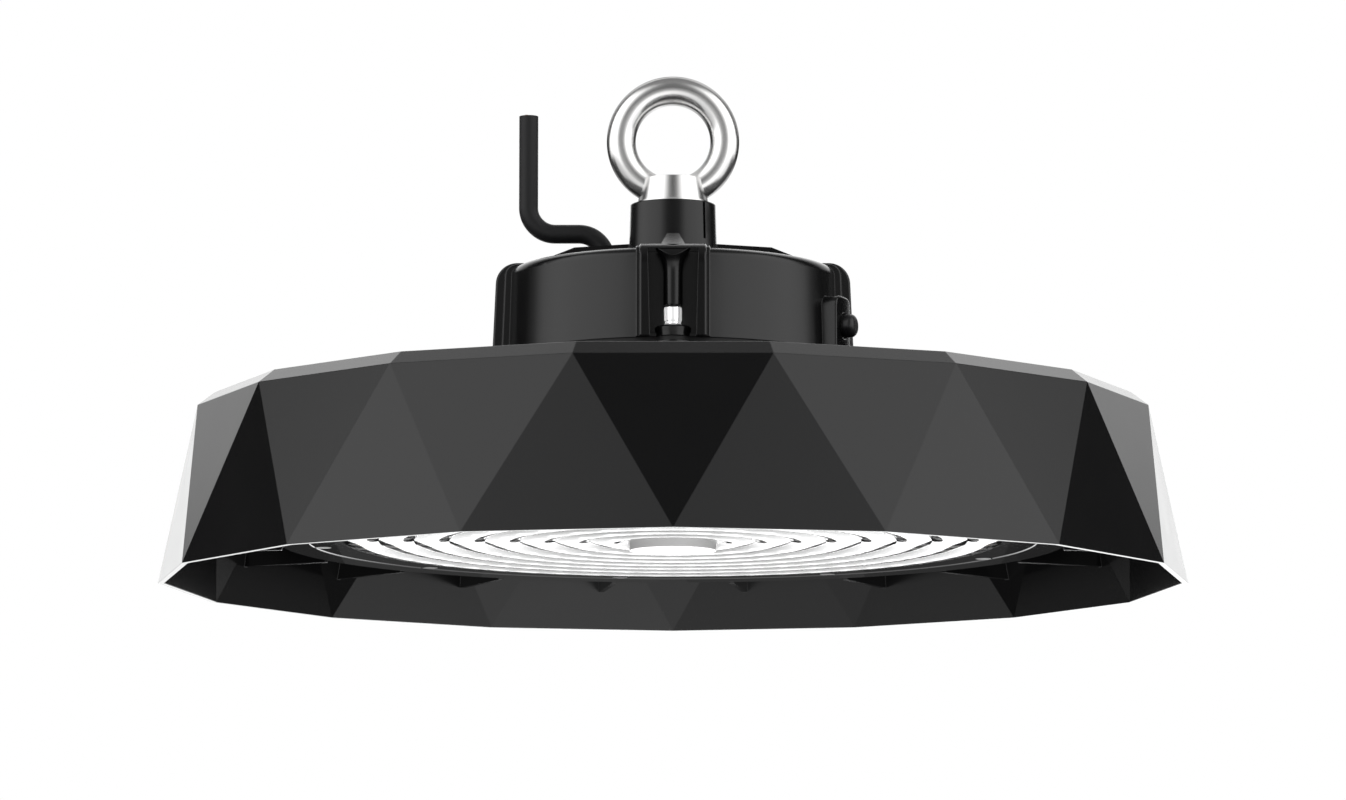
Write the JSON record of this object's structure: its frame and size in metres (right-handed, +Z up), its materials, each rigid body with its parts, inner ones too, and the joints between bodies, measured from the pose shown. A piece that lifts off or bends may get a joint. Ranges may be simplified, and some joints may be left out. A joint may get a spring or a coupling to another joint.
{
  "type": "high bay light",
  "caption": "Round industrial high bay light: faceted skirt, ring-patterned lens, driver housing, hanging eye and a short supply cord.",
  "frame": {"origin": "centre of the rim plane, on which the light stands when it is set down", "axes": "+Z up along the light's axis towards the hanging eye; -Y towards the front rim corner and the front screw pocket; +X towards the side that carries the vent plug"},
  "size_m": [0.35, 0.35, 0.1746],
  "materials": {
    "black_coating": "satin",
    "black_steel": "satin",
    "polished_steel": "polished",
    "zinc_steel": "satin",
    "clear_lens": "gloss",
    "black_rubber": "matte",
    "grey_rubber": "matte",
    "cord_jacket": "satin",
    "black_plastic": "satin",
    "white_board": "satin",
    "light_chip": "satin",
    "white_plastic": "satin",
    "green_plastic": "satin",
    "driver_board": "satin",
    "ferrite": "matte",
    "winding_tape": "satin",
    "copper_winding": "satin",
    "capacitor_sleeve": "gloss",
    "film_capacitor": "gloss",
    "bare_aluminium": "satin",
    "component_black": "satin",
    "core_insulation": "satin",
    "lead_insulation": "satin"
  },
  "bodies": {
    "root": {"heat_sink": "black_coating", "lens": "clear_lens", "lens_gasket": "grey_rubber", "lens_screws": "black_steel", "led_board": "white_board", "led_board_screws": "zinc_steel", "leds": "light_chip", "led_connector": "white_plastic", "lead_grommet": "black_rubber", "led_leads": "lead_insulation", "driver_housing": "black_coating", "housing_gasket": "black_rubber", "housing_screws": "zinc_steel", "housing_flat_washers": "zinc_steel", "housing_lock_washers": "zinc_steel", "eye_bolt": "polished_steel", "eye_bolt_washer": "zinc_steel", "eye_bolt_nut": "zinc_steel", "vent_plug": "black_plastic", "vent_seal": "black_rubber", "gland_body": "black_plastic", "gland_seal": "black_rubber", "gland_cap": "black_plastic", "gland_lock_nut": "black_plastic", "supply_cord": "cord_jacket", "supply_cores": "core_insulation", "driver_cup": "white_plastic", "driver_board": "driver_board", "driver_board_screws": "zinc_steel", "transformer_core": "ferrite", "transformer_winding": "winding_tape", "bulk_capacitors": "capacitor_sleeve", "filter_choke": "copper_winding", "film_capacitors": "film_capacitor", "transistor_heat_plate": "bare_aluminium", "power_transistors": "component_black", "bridge_rectifier": "component_black", "supply_terminal": "green_plastic", "output_terminal": "green_plastic"}
  },
  "joints": []
}
